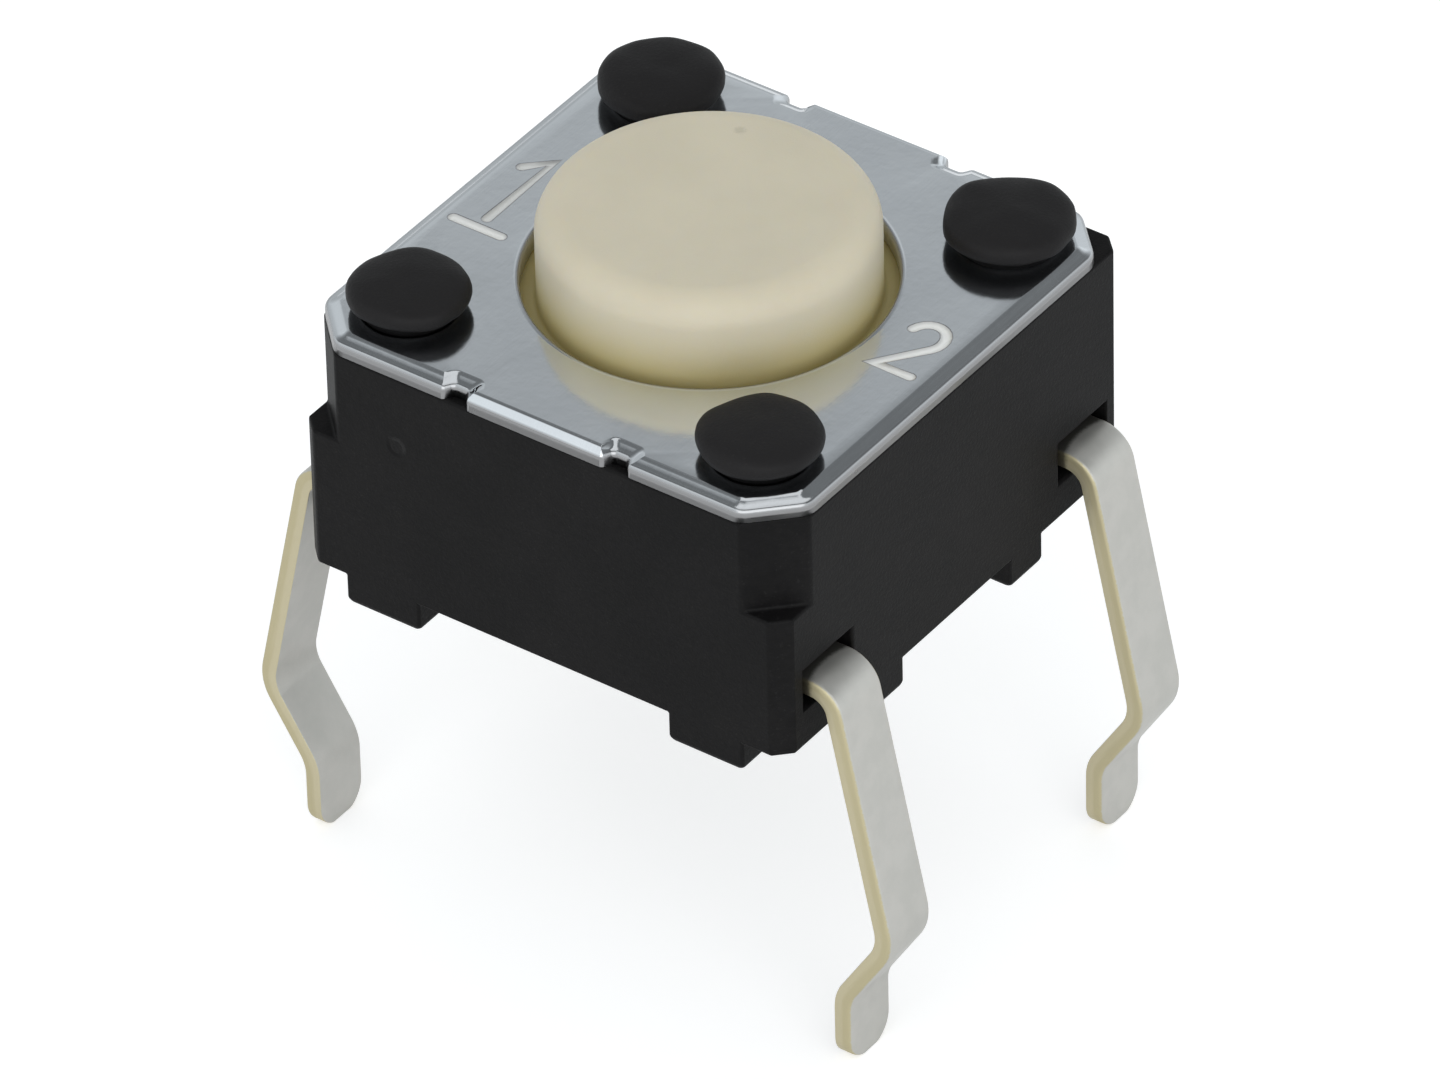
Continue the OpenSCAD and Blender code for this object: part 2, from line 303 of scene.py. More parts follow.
def fold(geometry, start, radius, angle, side):
    """Bends both ends of a flat sheet over a round tool, from the distance start on: side 1 is down."""
    position = geometry.node("GeometryNodeInputPosition")
    x, y, z = position.parts()
    beyond = x.absolute() - start
    turned = (beyond / radius).most(0.0).least(angle)
    rest = (beyond - radius * angle).most(0.0)
    arm = radius + z * side
    sine, cosine = turned.math("SINE", turned), turned.math("COSINE", turned)
    out_x = (start + arm * sine + rest * cosine) * x.math("SIGN", x)
    out_z = (arm * cosine - radius - rest * sine) * side
    bent = x.node("ShaderNodeCombineXYZ", sockets={0: out_x, 1: y, 2: out_z})
    past = beyond.node("FunctionNodeCompare", {"operation": "GREATER_THAN"}, {0: beyond, 1: 0.0})
    return geometry.node(
        "GeometryNodeSetPosition", sockets={"Geometry": geometry, "Selection": past, "Position": bent}
    )


bend_sizes = {
    "Shoulder Start": shoulder_start,
    "Shoulder Radius": shoulder_mid_r,
    "Shoulder Angle": shoulder_turn,
    "Knee Start": knee_start,
    "Knee Radius": knee_mid_r,
    "Knee Angle": splay + kink,
    "Tip Bend Start": tip_bend_start,
    "Tip Bend Angle": kink,
    "Sheet Height": sheet_z,
    "Material": tinned_brass,
}
bend_tree, sheet, size = add_tree("bend_leads", bend_sizes)
flat = sheet.node("GeometryNodeInputPosition")
sheet = sheet.node(
    "GeometryNodeStoreNamedAttribute",
    {"data_type": "FLOAT_VECTOR"},
    {"Geometry": sheet, "Name": "flat_place", "Value": flat},
)
sheet = fold(sheet, size["Tip Bend Start"], size["Knee Radius"], size["Tip Bend Angle"], -1)
sheet = fold(sheet, size["Knee Start"], size["Knee Radius"], size["Knee Angle"], 1)
sheet = fold(sheet, size["Shoulder Start"], size["Shoulder Radius"], size["Shoulder Angle"], 1)
lift = sheet.node("ShaderNodeCombineXYZ", sockets={2: size["Sheet Height"]})
sheet = sheet.node("GeometryNodeSetPosition", sockets={"Geometry": sheet, "Offset": lift})
end_tree(sheet, size["Material"])


bare_corner = [1.0, 1.0, 0.7, 0.2, 0.0]
bare_section = (bare_corner + bare_corner[::-1]) * 2


def sheet_section(x, y_low, y_high, thin=0.0, rolled=0.045, burr=0.012):
    """Section of the sheet across its length. The cutting rolls its upper edges, the lower stay sharp."""
    top, bottom = sheet_t / 2 - thin, -sheet_t / 2 + thin
    last = len(bare_corner) - 1
    points = []
    for corner_y, corner_z, r, first in (
        (y_high, top, rolled, 0),
        (y_low, top, rolled, 90),
        (y_low, bottom, burr, 180),
        (y_high, bottom, burr, 270),
    ):
        for i in range(last + 1):
            a = math.radians(first + 90 * i / last)
            points.append((
                x,
                corner_y + r * (math.cos(a) - math.copysign(1, corner_y - (y_low + y_high) / 2)),
                corner_z + r * (math.sin(a) - math.copysign(1, corner_z)),
            ))
    return points


def blank_stations():
    """Places along half a strip, with the half width and the thinning of the sheet there."""
    places = set(np.linspace(0, shoulder_start, 8))
    for start, length in (
        (shoulder_start, shoulder_mid_r * shoulder_turn),
        (knee_start, knee_mid_r * (splay + kink)),
        (tip_bend_start, knee_mid_r * kink),
    ):
        places |= set(np.linspace(start, start + length, 13))
    places |= set(np.linspace(shoulder_start + shoulder_mid_r * shoulder_turn, knee_start, 16))
    places |= set(blank_half_l - tip_round * (1 - np.cos(np.linspace(0.12, math.pi / 2, 14))))
    places |= {blank_half_l - tip_edge / 2, blank_half_l - 0.004, blank_half_l}
    stations = []
    for x in sorted(places):
        short = max(0.0, tip_round - (blank_half_l - x))
        half = sheet_w / 2 - tip_round + math.sqrt(max(0.0, tip_round ** 2 - short ** 2))
        end = max(0.0, 1 - (blank_half_l - x) / tip_edge)
        stations.append((x, half - 0.01 * end, 0.02 * end ** 2))
    return stations


def flat_strip(name, arms, pads):
    """The stamped blank of a strip with its leads still flat, and the inner contacts that it carries."""
    stations = blank_stations()
    both = [(-x, h, t) for x, h, t in stations[:0:-1]] + stations
    bare_end = [1.0] * len(bare_section)
    marks = [bare_end if abs(x) == blank_half_l else bare_section for x, h, t in both]
    bm = skin([sheet_section(x, -h, h, t) for x, h, t in both], marks=marks)
    for x, w, l in arms:
        reach = sheet_w / 2 - arm_root
        low, high = (reach, l) if l > 0 else (l, -reach)
        other = skin([[(x + px, y, z) for y, px, z in sheet_section(y, -w / 2, w / 2)] for y in (low, high)])
        joined = bpy.data.meshes.new("arm")
        other.to_mesh(joined)
        other.free()
        bm.from_mesh(joined)
        bpy.data.meshes.remove(joined)
    for x, y, d in pads:
        bmesh.ops.create_cone(
            bm, cap_ends=True, segments=32, radius1=d / 2, radius2=d / 2 - pad_edge, depth=pad_rise,
            matrix=Matrix.Translation((x, y, pad_rise / 2)),
        )
    return piece_from(bm, name)


rim_pad_x = rim_pad_r * math.cos(rim_pad_angle)
rim_arm_l = lead_row_y - rim_pad_r * math.sin(rim_pad_angle)
for name, row_y, arms, pads in (
    ("centre_contact_strip", lead_row_y, [(0, centre_arm_w, -lead_row_y)], [(0, -lead_row_y, centre_pad_d)]),
    (
        "rim_contact_strip", -lead_row_y,
        [(x, rim_arm_w, rim_arm_l) for x in (-rim_pad_x, rim_pad_x)],
        [(x, rim_arm_l, rim_pad_d) for x in (-rim_pad_x, rim_pad_x)],
    ),
):
    strip = flat_strip(name, arms, pads)
    use_tree(strip, bend_tree, bend_sizes)
    settle(strip)
    strip.data.transform(Matrix.Translation((0, row_y * mm, 0)))
    weighted = strip.modifiers.new("even_faces", "WEIGHTED_NORMAL")
    weighted.keep_sharp = True
    settle(strip, 1)
    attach(strip, "base")
    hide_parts(name.replace("_contact", ""))

# Housing. Black glass-filled plastic, injection moulded round the contact strips, with fine satin
# faces. The larger chamfers of its two front edges end on a small ledge, and a gate mark is left.
housing_half = 3.0
housing_base, ledge_z, housing_top = 0.4, 2.1, 3.2
edge_cut, front_cut = 0.18, 0.5
pocket_r, seat_r, seat_z, floor_z = 2.4, 2.2, 1.68, 1.28
edge_round = 0.035
foot_root, clearance = 0.2, 0.5
recess_low, recess_high = 0.85, 1.35
weld = 0.0005

moulded_black, shader, place = new_finish("moulded_black", {"Specular IOR Level": 0.115})
cloud = place.noise(1.1, 3.0, 0.6)
fine = place.noise(26.0, 3.0, 0.6)
pit = place.noise(70.0, 2.0, 0.5)
fibre = place.stretched(14, 3, 14).noise(1.0, 2.0, 0.5)
x, y, z = place.parts()
mixed = (cloud * 0.6 + fibre * 0.4).step(0.35, 0.68)
black = mixed.blend(colour(0.0042, 0.0040, 0.0042), colour(0.0075, 0.0070, 0.0072))
# Painted light: above 3.42 mm, on the staked heads, the black is made lighter for the light that falls on
# their tops from above
heads_painted_lighter = z.step(3.42, 3.6).blend(black, colour(0.0155, 0.0147, 0.0152))
dust = (fine + cloud * 0.25).step(0.72, 0.86) * 0.3
off_x, off_z = x + 1.75, z - 2.34
off = off_x * off_x + off_z * off_z
gate = (1 - off.root().step(0.07, 0.13)) * (1 - y.step(-2.98, -2.9))
feed(
    shader,
    Base_Color=dust.blend(heads_painted_lighter, colour(0.03, 0.029, 0.029)),
    Roughness=0.4 + fine * 0.16 + cloud * 0.08 - gate * 0.12,
    Normal=place.node(
        "ShaderNodeBump",
        sockets={"Strength": 0.5, "Distance": 0.012 * mm, "Height": fine * 0.65 + pit * 0.35 - gate * 3},
    ),
)


def inset(points, by):
    """The counter-clockwise outline moved inwards."""
    moved = []
    for i, here in enumerate(points):
        before = (Vector(here) - Vector(points[i - 1])).normalized()
        after = (Vector(points[(i + 1) % len(points)]) - Vector(here)).normalized()
        a, b = Vector((-before.y, before.x)), Vector((-after.y, after.x))
        way = (a + b) / max(0.4, 1 + a.dot(b))
        moved.append((here[0] + way.x * by, here[1] + way.y * by))
    return moved


def upright(outlines, finish=None, name="block", foot=0.0):
    """Upright prisms, each an outline with a lower and an upper height, bevelled below by foot."""
    bm = bmesh.new()
    for points, low, high in outlines:
        levels = [(inset(points, foot), low - foot)] if foot else []
        rings = [
            [bm.verts.new((x, y, z)) for x, y in outline]
            for outline, z in levels + [(points, low), (points, high)]
        ]
        bm.faces.new(rings[0][::-1])
        bm.faces.new(rings[-1])
        for a, b in zip(rings, rings[1:]):
            for i in range(len(points)):
                j = (i + 1) % len(points)
                bm.faces.new((a[i], a[j], b[j], b[i]))
    return piece_from(bm, name, finish, smooth=False)


def circle(r, count, x=0.0, y=0.0):
    turns = [2 * math.pi * i / count for i in range(count)]
    return [(x + r * math.cos(a), y + r * math.sin(a)) for a in turns]


def cut_square(half, cut):
    """Counter-clockwise outline of a square with cut corners."""
    near = half - cut
    return [
        (-near, -half), (near, -half), (half, -near), (half, near),
        (near, half), (-near, half), (-half, near), (-half, -near),
    ]


def turned_round(points, sx, sy):
    """The outline mirrored by the signs, still counted counter-clockwise."""
    moved = [(x * sx, y * sy) for x, y in points]
    return moved if sx * sy > 0 else moved[::-1]


signs = [(-1, -1), (1, -1), (1, 1), (-1, 1)]
foot_outline = [(1.55, 0.94), (3.0, 0.94), (3.0, 1.52), (2.47, 1.52), (2.47, 3.0), (1.55, 3.0)]
foot_bevel = 0.09
recess_outline = [(2.8, 1.82), (3.5, 1.82), (3.5, 2.68), (2.8, 2.68)]
outside, wedge_in = housing_half + clearance, housing_half - front_cut - clearance
wedge_outline = [(wedge_in, -outside), (outside, -outside), (outside, -wedge_in)]
body = (cut_square(housing_half, edge_cut), housing_base, housing_top)
housing = upright([body], moulded_black, "moulded_housing")
feet = upright(
    [(turned_round(foot_outline, *s), foot_bevel, housing_base + foot_root) for s in signs], foot=foot_bevel
)
cutters = upright(
    [(turned_round(recess_outline, *s), recess_low, recess_high) for s in signs]
    + [(turned_round(wedge_outline, s, 1), ledge_z, housing_top + clearance) for s in (-1, 1)]
    + [(circle(pocket_r, 96), seat_z, housing_top + clearance)]
)
seat = upright([(circle(seat_r, 96), floor_z, housing_top)])
for other, operation in ((feet, "UNION"), (cutters, "DIFFERENCE"), (seat, "DIFFERENCE")):
    boolean = housing.modifiers.new(operation.lower(), "BOOLEAN")
    boolean.object, boolean.operation, boolean.solver = other, operation, "EXACT"
settle(housing, 1)
for other in (feet, cutters, seat):
    bpy.data.objects.remove(other)
bm = bmesh.new()
bm.from_mesh(housing.data)
bmesh.ops.remove_doubles(bm, verts=bm.verts, dist=weld)
bmesh.ops.dissolve_limit(bm, angle_limit=math.radians(0.5), verts=bm.verts, edges=bm.edges)
bm.to_mesh(housing.data)
bm.free()
rounding = housing.modifiers.new("edge_round", "BEVEL")
rounding.width, rounding.segments = edge_round, 3
rounding.limit_method, rounding.angle_limit = "ANGLE", math.radians(35)
housing.modifiers.new("even_faces", "WEIGHTED_NORMAL")
for f in housing.data.polygons:
    f.use_smooth = True
settle(housing)
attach(housing, "base")
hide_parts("housing")

# Snap dome. A thin disc of spring steel, formed by a press, that snaps through under the plunger
# and joins the contacts. It lies hidden on the floor of the housing.
spring_steel, shader, place = new_finish("spring_steel", {"Metallic": 1.0})
rolled = place.stretched(3, 40, 3).noise(1.0, 3.0, 0.6)
feed(
    shader,
    Base_Color=rolled.step(0.3, 0.7).blend(colour(0.46, 0.46, 0.45), colour(0.58, 0.58, 0.56)),
    Roughness=0.2 + rolled * 0.15,
    Normal=place.node("ShaderNodeBump", sockets={"Strength": 0.4, "Distance": 0.002 * mm, "Height": rolled}),
)
dome_r, dome_rise, dome_t = 2.15, 0.28, 0.07
hollow_r = (dome_r ** 2 + dome_rise ** 2) / (2 * dome_rise)
hollow_centre = floor_z + dome_rise - hollow_r


def turned(profile, count=96):
    """A closed solid of revolution about the upright axis, from its profile of radius and height."""
    bm = skin([[(r * c, r * s, z) for c, s in circle(1, count)] for r, z in profile], closed_ends=False)
    bmesh.ops.remove_doubles(bm, verts=bm.verts, dist=weld)
    return bm


def cap(r):
    """Points of a spherical cap from the axis out to the rim of the dome."""
    return [(x, hollow_centre + math.sqrt(r ** 2 - x ** 2)) for x in np.linspace(0, dome_r, 14)]


dome = piece_from(turned(cap(hollow_r) + cap(hollow_r + dome_t)[::-1]), "formed_snap_dome", spring_steel)
settle(dome)
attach(dome, "base")
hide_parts("snap_dome")
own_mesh(dome)

# Plunger. An ivory moulding with a rounded upper edge. Its flange is held in under the cover plate,
# and a small mark of the moulding gate shows on its top.
stem_r, stem_top, stem_round = 1.757, 4.3, 0.34
flange_r, flange_low, flange_high = 2.25, 2.67, 3.17
boss_r, boss_low = 0.8, 1.65
boss_round, boss_fillet, flange_round, top_sink = 0.06, 0.1, 0.05, 0.002
gate_mark = (-0.43, 1.16)

ivory, shader, place = new_finish("ivory_moulding", {"Subsurface Weight": 0.4, "Subsurface Scale": 0.3 * mm})
shader.inputs["Subsurface Radius"].default_value = (1.0, 0.7, 0.35)
cloud = place.noise(0.9, 3.0, 0.5)
fine = place.noise(34.0, 3.0, 0.6)
x, y, z = place.parts()
off_x, off_y = x - gate_mark[0], y - gate_mark[1]
off = (off_x * off_x + off_y * off_y).root()
speck = (1 - (off + (fine - 0.5) * 0.06).step(0.025, 0.085)) * z.step(4.2, 4.25)
ivory_tone = cloud.step(0.3, 0.7).blend(colour(0.587, 0.534, 0.41), colour(0.618, 0.563, 0.434))
# Painted shade: the plunger turns brown and darker from 4.1 mm down to 3.16 mm, for the shade low on its side
# and in the gap under the cover plate
painted_gap_shade = 1 - z.step(3.16, 4.1)
feed(
    shader,
    Base_Color=(speck * 0.3).blend(painted_gap_shade.blend(ivory_tone, colour(0.45, 0.375, 0.16)), colour(0.30, 0.28, 0.22)),
    Roughness=0.46 + fine * 0.12,
    Normal=place.node(
        "ShaderNodeBump",
        sockets={"Strength": 0.5, "Distance": 0.006 * mm, "Height": fine * 0.7 + speck * -1.5},
    ),
)


def arc(cx, cz, r, first, last, count):
    """Points of a rounding in a turned profile, by angles in degrees."""
    steps = [math.radians(first + (last - first) * i / count) for i in range(count + 1)]
    return [(cx + r * math.cos(a), cz + r * math.sin(a)) for a in steps]


plunger_profile = (
    [(0, boss_low), (0.5, boss_low)]
    + arc(boss_r - boss_round, boss_low + boss_round, boss_round, -90, 0, 4)
    + arc(boss_r + boss_fillet, flange_low - boss_fillet, boss_fillet, 180, 90, 5)
    + [(1.4, flange_low)]
    + arc(flange_r - flange_round, flange_low + flange_round, flange_round, -90, 0, 4)
    + arc(flange_r - flange_round, flange_high - flange_round, flange_round, 0, 90, 4)
    + arc(stem_r + flange_round, flange_high + flange_round, flange_round, 270, 180, 4)
    + [(stem_r, 3.5), (stem_r, 3.8)]
    + arc(stem_r - stem_round, stem_top - stem_round, stem_round, 0, 90, 18)
    + [(1.2, stem_top), (0.9, stem_top - top_sink / 2), (0.4, stem_top - top_sink), (0, stem_top - top_sink)]
)
plunger = piece_from(turned(plunger_profile, 160), "plunger_moulding", ivory)
settle(plunger)
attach(plunger, "button")
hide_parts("plunger")

# Cover plate. Thin rolled steel sheet, blanked in a die that draws its upper edges down and leaves a
# sheared tab between two notches on the front and back, with small tool numbers struck into its top.
plate_low, plate_top = 3.2, 3.4
plate_half, plate_cut = 3.0, 0.51
tab_half, tab_out = 0.83, 0.02
notch_out, notch_in, notch_slant = 1.14, 0.11, 0.07
wide_corner_r, tab_corner_r, least_corner_r = 0.26, 0.06, 0.006
sheared_w, tab_sheared_w = 0.045, 0.01
hole_r = 1.925
post_xy, post_hole_r = 2.165, 0.48
digit_w, digit_depth, digit_slope, digit_brim = 0.11, 0.025, 0.03, 0.015

cover_steel, shader, place = new_finish("cover_steel", {})
sheared_and_highlight = place.node("ShaderNodeAttribute", {"attribute_name": "sheared_and_highlight"}, out=2)
cloud = place.noise(0.7, 3.0, 0.55)
lines = place.stretched(60, 2.2, 10).noise(1.0, 4.0, 0.65)
orange_peel = place.noise(9.0, 2.0, 0.5)
drawn = (cloud * 0.7 + lines * 0.3).step(0.35, 0.65)
sheen = drawn.blend(colour(0.705, 0.735, 0.765), colour(0.76, 0.79, 0.82))
scuff = place.stretched(3, 26, 3).noise(1.0, 3.0, 0.7).step(0.66, 0.8) * 0.25
plain = sheared_and_highlight.least(1.0).blend(scuff.blend(sheen, colour(0.78, 0.79, 0.80)), colour(0.34, 0.34, 0.345))
# Values up to 1 mark sheared faces, a duller grey steel. Painted highlight: above 1 the steel turns a pale
# non-metal white, on the struck numbers and on the wall and lip of the centre hole
painted_highlight = (sheared_and_highlight - 1).most(0.0)
feed(
    shader,
    Base_Color=painted_highlight.blend(plain, colour(0.85, 0.85, 0.83)),
    Metallic=1 - painted_highlight * 0.9,
    Roughness=0.07 + lines * 0.05 + cloud * 0.05 + sheared_and_highlight * 0.17,
    Normal=place.node(
        "ShaderNodeBump",
        sockets={"Strength": 0.4, "Distance": 0.002 * mm, "Height": lines * 0.3 + orange_peel * 0.7},
    ),
)


def rounded_outline(points, radii, moved, count=4):
    """The counter-clockwise outline moved inwards. The radii are those of its corners before the move."""
    made = []
    shifted = [Vector(p) for p in inset(points, moved)]
    for i, (here, r) in enumerate(zip(shifted, radii)):
        before, after = shifted[i - 1] - here, shifted[(i + 1) % len(shifted)] - here
        turn = before.cross(after)
        corner_r = max(least_corner_r, r - moved) if turn < 0 else r + moved
        size = min(corner_r / math.tan(before.angle(after) / 2), 0.45 * before.length, 0.45 * after.length)
        a, b = here + before.normalized() * size, here + after.normalized() * size
        for k in range(count + 1):
            t = k / count
            made.append((a * (1 - t) ** 2 + here * 2 * t * (1 - t) + b * t ** 2).to_tuple())
    return made


def stroke(path, width):
    """Closed outline round a line with round ends, as a punch strikes it."""
    points = [Vector(p) for p in path]
    sides = [], []
    for i, here in enumerate(points):
        before = (here - points[i - 1]).normalized() if i else (points[1] - here).normalized()
        after = (points[i + 1] - here).normalized() if i + 1 < len(points) else before
        a, b = Vector((-before.y, before.x)), Vector((-after.y, after.x))
        way = (a + b) / max(0.5, 1 + a.dot(b)) * width / 2
        sides[0].append(here + way)
        sides[1].append(here - way)
    outline = []
    for side, end, tip in (
        (sides[1], points[-1], points[-1] - points[-2]),
        (sides[0][::-1], points[0], points[0] - points[1]),
    ):
        outline += side
        facing = math.atan2(tip.y, tip.x)
        for k in range(1, 6):
            a = facing - math.pi / 2 + math.pi * k / 6
            outline.append(end + Vector((math.cos(a), math.sin(a))) * width / 2)
    return [(p.x, p.y) for p in outline]


left_part = [
    (-plate_half + plate_cut, -plate_half), (-notch_out, -plate_half),
    (-notch_out + notch_slant, -plate_half + notch_in), (-tab_half - notch_slant, -plate_half + notch_in),
    (-tab_half, -plate_half - tab_out),
]
front_edge = left_part + [(-x, y) for x, y in left_part[::-1]]
side_edge = [(plate_half, -plate_half + plate_cut), (plate_half, plate_half - plate_cut)]
half_outline = front_edge + side_edge
corners = half_outline + [(-x, -y) for x, y in half_outline]
corner_radii = [wide_corner_r if min(abs(x), abs(y)) > notch_out else tab_corner_r for x, y in corners]
# Each place of a rim: distance from the edge, how far the metal lies under the face there, and the
# same on the sheared tabs
rim = [
    (0.0, 0.105, 0.085), (0.004, 0.082, 0.073), (0.014, 0.062, 0.06), (0.028, 0.053, 0.045),
    (0.045, 0.049, 0.029), (0.062, 0.044, 0.014), (0.085, 0.035, 0.0), (0.115, 0.02, 0.0),
    (0.145, 0.006, 0.0), (0.17, 0.0, 0.0),
]
hole_rim = [
    (0.0, 0.03, 0), (0.006, 0.006, 0), (0.016, -0.004, 0), (0.028, -0.006, 0), (0.045, -0.003, 0),
    (0.062, 0.0, 0),
]
post_rim = [(0.0, 0.04, 0), (0.008, 0.02, 0), (0.025, 0.006, 0), (0.05, 0.0, 0)]

digit_one = [(-0.18, 0.36), (0.05, 0.6), (0.05, -0.55)]
digit_one_foot = [(-0.25, -0.72), (0.35, -0.72)]
digit_two_bow = [(0.2 * math.cos(a), 0.2 + 0.22 * math.sin(a)) for a in np.radians(np.linspace(165, -35, 13))]
digit_two = digit_two_bow + [(-0.21, -0.42), (0.24, -0.42)]

bm = bmesh.new()
top_edges, bottom_edges, mark = [], [], bm.verts.layers.float.new("sheared_and_highlight")


def ring_of(points, z, value=0.0):
    ring = [bm.verts.new((x, y, z)) for x, y in points]
    for v in ring:
        v[mark] = value
    return ring


def wall(a, b):
    for i in range(len(a)):
        j = (i + 1) % len(a)
        bm.faces.new((a[i], a[j], b[j], b[i]))


def loop_edges(ring):
    return [bm.edges.get((v, ring[i - 1])) or bm.edges.new((v, ring[i - 1])) for i, v in enumerate(ring)]


def edge_rings(outline_at, profile, shear_and_lip_highlight):
    """The wall of an edge, up from the underside, and the drawn-down rim over it, flatter on the tabs. A
    value over 1 paints a highlight on the edge.
    """
    rings = [ring_of(outline_at(0), plate_low, shear_and_lip_highlight)]
    for offset, drop, tab_drop in profile:
        ring = ring_of(outline_at(offset), plate_top - drop, shear_and_lip_highlight * max(0, 1 - offset / sheared_w))
        for v in ring:
            if abs(v.co.x) < tab_half and abs(v.co.y) > plate_half - notch_in / 2 - offset:
                v.co.z = plate_top - tab_drop
                v[mark] = max(0, 1 - offset / tab_sheared_w)
        rings.append(ring)
    for a, b in zip(rings, rings[1:]):
        wall(a, b)
    bottom_edges.extend(loop_edges(rings[0]))
    top_edges.extend(loop_edges(rings[-1]))


edge_rings(lambda d: rounded_outline(corners, corner_radii, d), rim, 1.0)
# Painted highlight: the value 1.7 makes the wall and lip of the centre hole pale and bright
edge_rings(lambda d: circle(hole_r + d, 160)[::-1], hole_rim, 1.7)
for sx, sy in signs:
    edge_rings(lambda d: circle(post_hole_r + d, 48, sx * post_xy, sy * post_xy)[::-1], post_rim, 0.3)
# Painted glint: the numbers are coloured pale white, brighter than the steel around them, by values over 1 on
# their brim and floor
for digit, (cx, cy), painted_glint in (
    (digit_two, (2.43, 0.12), 1.0),
    (digit_one, (-2.45, 0.03), 0.85),
    (digit_one_foot, (-2.45, 0.03), 1.0),
):
    shape = stroke([(x + cx, y + cy) for x, y in digit], digit_w)
    edge = ring_of(inset(shape, -digit_brim), plate_top)
    brim = ring_of(shape, plate_top, 1 + 0.6 * painted_glint)
    foot = ring_of(inset(shape, digit_slope), plate_top - digit_depth, 1 + painted_glint)
    wall(edge, brim)
    wall(brim, foot)
    top_edges.extend(loop_edges(edge))
    bmesh.ops.triangle_fill(bm, edges=loop_edges(foot), use_beauty=True, normal=(0, 0, 1))
bmesh.ops.triangle_fill(bm, edges=top_edges, use_beauty=True, normal=(0, 0, 1))
bmesh.ops.triangle_fill(bm, edges=bottom_edges, use_beauty=True, normal=(0, 0, -1))
plate = piece_from(bm, "steel_cover_plate", cover_steel)
plate.modifiers.new("even_faces", "WEIGHTED_NORMAL")
settle(plate)
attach(plate, "base")
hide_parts("cover_plate")

# Staked heads. Four posts of the housing come up through the cover plate, and a hot tool upsets
# their ends into low mushroom heads that hold the plate down.
head_r, head_top = 0.65, 3.8
head_profile = [
    (0, 3.22), (0.44, 3.22), (0.44, 3.38), (0.505, 3.402), (0.507, 3.445), (0.53, 3.48), (0.575, 3.506),
    (0.61, 3.526), (head_r - 0.014, 3.55), (head_r - 0.003, 3.58), (head_r, 3.62), (head_r - 0.006, 3.66),
    (head_r - 0.024, 3.697), (0.585, 3.728), (0.53, 3.751), (0.44, 3.771), (0.32, 3.786), (0.2, 3.796),
    (0.1, 3.799), (0, head_top),
]
# With this seed the four heads differ in size about as the real ones do
heads_sizes = {
    "Pitch": 2 * post_xy,
    "Seed": 266,
    "Size Spread": 0.07,
    "Lump Size": 0.12,
    "Material": moulded_black,
}
heads_tree, head, size = add_tree("stake_heads", heads_sizes)
grid = head.node(
    "GeometryNodeMeshGrid",
    sockets={"Size X": size["Pitch"], "Size Y": size["Pitch"], "Vertices X": 2, "Vertices Y": 2},
)
turn = head.node(
    "FunctionNodeRandomValue", {"data_type": "FLOAT"}, {2: 0.0, 3: 2 * math.pi, "Seed": size["Seed"]}, out=1
)
swell = head.node(
    "FunctionNodeRandomValue", {"data_type": "FLOAT"},
    {2: 1 - size["Size Spread"], 3: 1 + size["Size Spread"], "Seed": size["Seed"] + 1}, out=1,
)
heads = grid.node(
    "GeometryNodeInstanceOnPoints",
    sockets={
        "Points": grid,
        "Instance": head,
        "Rotation": turn.node("ShaderNodeCombineXYZ", sockets={2: turn}),
        "Scale": swell.node("ShaderNodeCombineXYZ", sockets={0: swell, 1: swell, 2: 1.0}),
    },
)
heads = heads.node("GeometryNodeRealizeInstances", sockets={"Geometry": heads})
place = heads.node("GeometryNodeInputPosition")
lump = place.node("ShaderNodeTexNoise", sockets={"Vector": place, "Scale": 1.4, "Detail": 1.0}, out=1)
lump = lump.node("ShaderNodeVectorMath", {"operation": "SUBTRACT"}, {0: lump, 1: (0.5, 0.5, 0.5)})
strength = place.parts()[2].step(3.42, 3.56) * size["Lump Size"]
lump = lump.node("ShaderNodeVectorMath", {"operation": "SCALE"}, {0: lump, "Scale": strength})
heads = heads.node("GeometryNodeSetPosition", sockets={"Geometry": heads, "Offset": lump})
end_tree(heads, size["Material"])
staked = piece_from(turned(head_profile, 72), "staked_heads")
use_tree(staked, heads_tree, heads_sizes)
settle(staked)
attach(staked, "base")
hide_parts("housing")

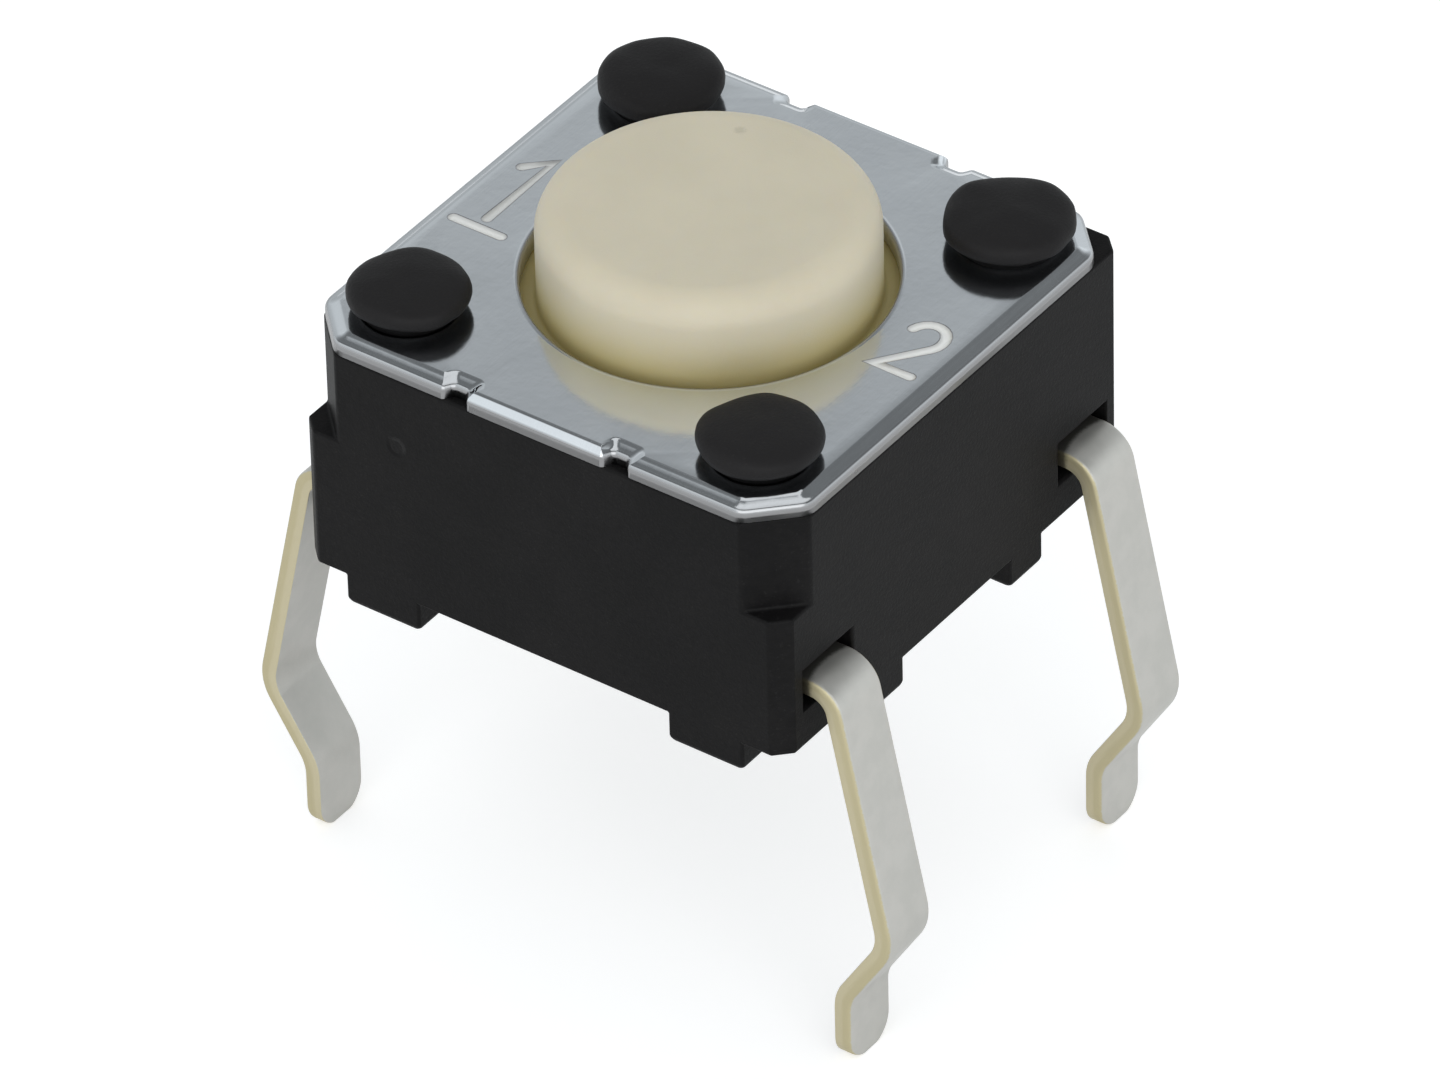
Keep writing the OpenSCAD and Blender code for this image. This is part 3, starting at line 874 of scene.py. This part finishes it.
# Studio. A pale floor under the tips of the leads, which stays white to the camera but keeps the
# shadow, a white surround that mirrors show greyer towards the top, and wide lamps.
floor_paint = bpy.data.materials.new("floor_paint")
floor_paint.use_nodes = True
shader = floor_paint.node_tree.nodes["Principled BSDF"]
shader.inputs["Base Color"].default_value = (0.7, 0.7, 0.7, 1)
shader.inputs["Roughness"].default_value = 0.9
shader.inputs["Specular IOR Level"].default_value = 0.0
shader.inputs["Emission Color"].default_value = (1, 1, 1, 1)
start = Signal(floor_paint.node_tree)


def ray_kinds(start):
    """1 for rays from the camera, and 1 for rays off a mirror or through glass."""
    rays = start.node("ShaderNodeLightPath").socket.node.outputs
    camera_ray, glossy, through = (
        Signal(start.tree, rays[n]) for n in ("Is Camera Ray", "Is Glossy Ray", "Is Transmission Ray")
    )
    return camera_ray, glossy.most(through)


camera_ray, mirrored = ray_kinds(start)
feed(shader, Emission_Strength=(camera_ray * 0.5).most(mirrored * 0.25))
bm = bmesh.new()
under_tips = Matrix.Translation((0, 0, -lead_below * mm))
bmesh.ops.create_grid(bm, x_segments=2, y_segments=2, size=0.5, matrix=under_tips)
floor = piece_from(bm, "studio_floor", floor_paint, smooth=False)

world = bpy.data.worlds.new("studio")
bpy.context.scene.world = world
world.use_nodes = True
start = Signal(world.node_tree)
camera_ray, mirrored = ray_kinds(start)
x, y, z = start.node("ShaderNodeTexCoord", out=0).parts()
# Mirrors also show a bright window, high on the left, and a paler wall across from the camera
window = (z * 0.67 - x * 0.5 - y * 0.55).step(0.8, 0.95)
behind = (y * 0.7 - x * 0.7).step(0.6, 0.95) * 0.5
mirror_white = (1 - (z.step(0.37, 0.76) * 0.82).most(behind)).most(window)
lit = (1 - camera_ray.most(mirrored)) * (1.08 - z * 0.55)
feed(world.node_tree.nodes["Background"], Strength=lit + (camera_ray * 1.08).most(mirrored * mirror_white))
world.node_tree.nodes["Background"].inputs["Color"].default_value = (0.94, 0.98, 1, 1)


def add_lamp(name, place, size, power):
    lamp = bpy.data.lights.new(name, "AREA")
    lamp.shape, lamp.size, lamp.energy = "SQUARE", size, power
    holder = bpy.data.objects.new(name, lamp)
    holder.location = place
    holder.rotation_euler = (-Vector(place)).to_track_quat("-Z", "Y").to_euler()
    bpy.context.scene.collection.objects.link(holder)


add_lamp("camera_side_lamp", (0.2, -0.27, 0.2), size=0.5, power=0.86)
add_lamp("overhead_lamp", (-0.05, 0.1, 0.36), size=0.2, power=0.08)

bpy.context.scene.view_settings.view_transform = "Standard"
